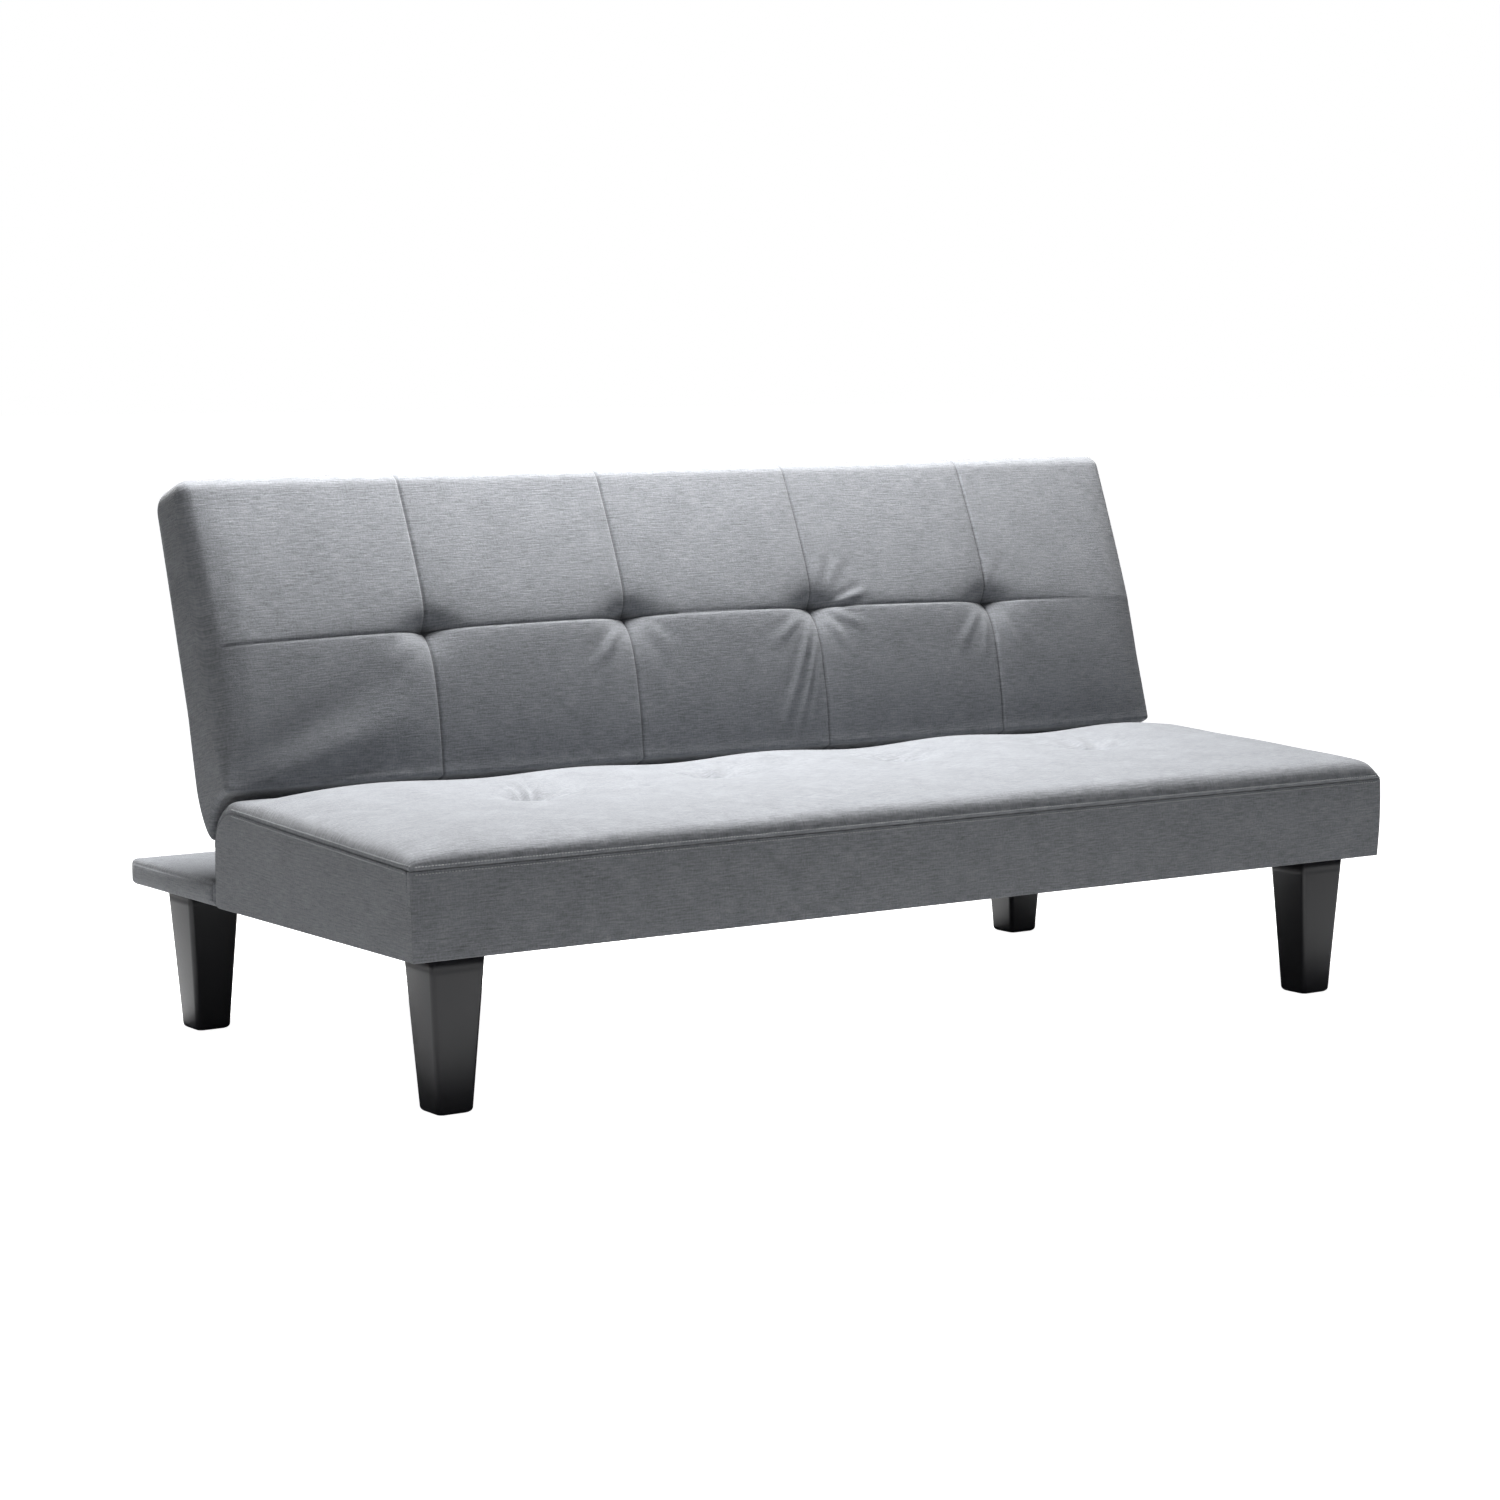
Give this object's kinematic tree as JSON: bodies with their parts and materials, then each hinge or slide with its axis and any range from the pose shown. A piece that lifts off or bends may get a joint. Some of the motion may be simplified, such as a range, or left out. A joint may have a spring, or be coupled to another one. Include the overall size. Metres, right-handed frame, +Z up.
{
  "type": "click clack sofa bed",
  "caption": "Armless upholstered sofa bed with a crowned seat, a tufted back on ratchet hinges that folds flat onto a padded rear shelf, and tapered corner legs.",
  "frame": {"origin": "on the floor at the centre of the footprint", "axes": "+X along the width towards the viewer's right, +Y from the front edge towards the rear shelf, +Z up"},
  "size_m": [1.68, 0.857, 0.815],
  "materials": {
    "upholstery": "matte",
    "lining": "matte",
    "timber": "matte",
    "plywood": "matte",
    "leg_plastic": "satin",
    "steel": "satin"
  },
  "bodies": {
    "base": {"seat_cushion": "upholstery", "seat_front_cover": "upholstery", "seat_left_cover": "upholstery", "seat_right_cover": "upholstery", "seat_rear_cover": "upholstery", "seat_rear_cover_left": "upholstery", "seat_rear_cover_right": "upholstery", "shelf_top_cover": "upholstery", "shelf_left_cover": "upholstery", "shelf_right_cover": "upholstery", "shelf_rear_cover": "upholstery", "dust_cover": "lining", "left_bearer": "timber", "right_bearer": "timber", "centre_bearer": "timber", "seat_front_rail": "timber", "seat_rear_rail": "timber", "left_side_rail": "timber", "right_side_rail": "timber", "shelf_rear_rail": "timber", "seat_deck": "plywood", "shelf_panel": "plywood", "front_left_leg": "leg_plastic", "front_right_leg": "leg_plastic", "rear_left_leg": "leg_plastic", "rear_right_leg": "leg_plastic", "front_left_leg_bolt": "steel", "front_right_leg_bolt": "steel", "rear_left_leg_bolt": "steel", "rear_right_leg_bolt": "steel", "left_hinge_fixed_arm": "steel", "right_hinge_fixed_arm": "steel", "left_hinge_pin": "steel", "right_hinge_pin": "steel", "left_pawl_pin": "steel", "right_pawl_pin": "steel", "left_pawl_spring": "steel", "right_pawl_spring": "steel"},
    "back": {"back_cushion": "upholstery", "back_roll": "upholstery", "back_roll_left": "upholstery", "back_roll_right": "upholstery", "back_top_roll": "upholstery", "back_rear_cover": "upholstery", "back_left_cover": "upholstery", "back_right_cover": "upholstery", "back_board": "plywood", "back_top_rail": "timber", "back_bottom_rail": "timber", "back_centre_stile": "timber", "back_left_stile": "timber", "back_right_stile": "timber", "back_left_hinge_stile": "timber", "back_right_hinge_stile": "timber", "left_hinge_moving_arm": "steel", "right_hinge_moving_arm": "steel"},
    "left_pawl_lever": {"left_pawl": "steel"},
    "right_pawl_lever": {"right_pawl": "steel"}
  },
  "joints": [
    {"name": "back_fold", "type": "hinge", "parent": "base", "child": "back", "pos_m": [0, 0.1495, 0.278], "axis": [1, 0, 0], "range_deg": [-72.5, 8.05]},
    {"name": "left_pawl_lift", "type": "hinge", "parent": "base", "child": "left_pawl_lever", "pos_m": [-0.7186, 0.1795, 0.251], "axis": [1, 0, 0], "range_deg": [-3, 6], "stiffness_Nm_per_rad": 2},
    {"name": "right_pawl_lift", "type": "hinge", "parent": "base", "child": "right_pawl_lever", "pos_m": [0.7186, 0.1795, 0.251], "axis": [1, 0, 0], "range_deg": [-3, 6], "stiffness_Nm_per_rad": 2}
  ]
}
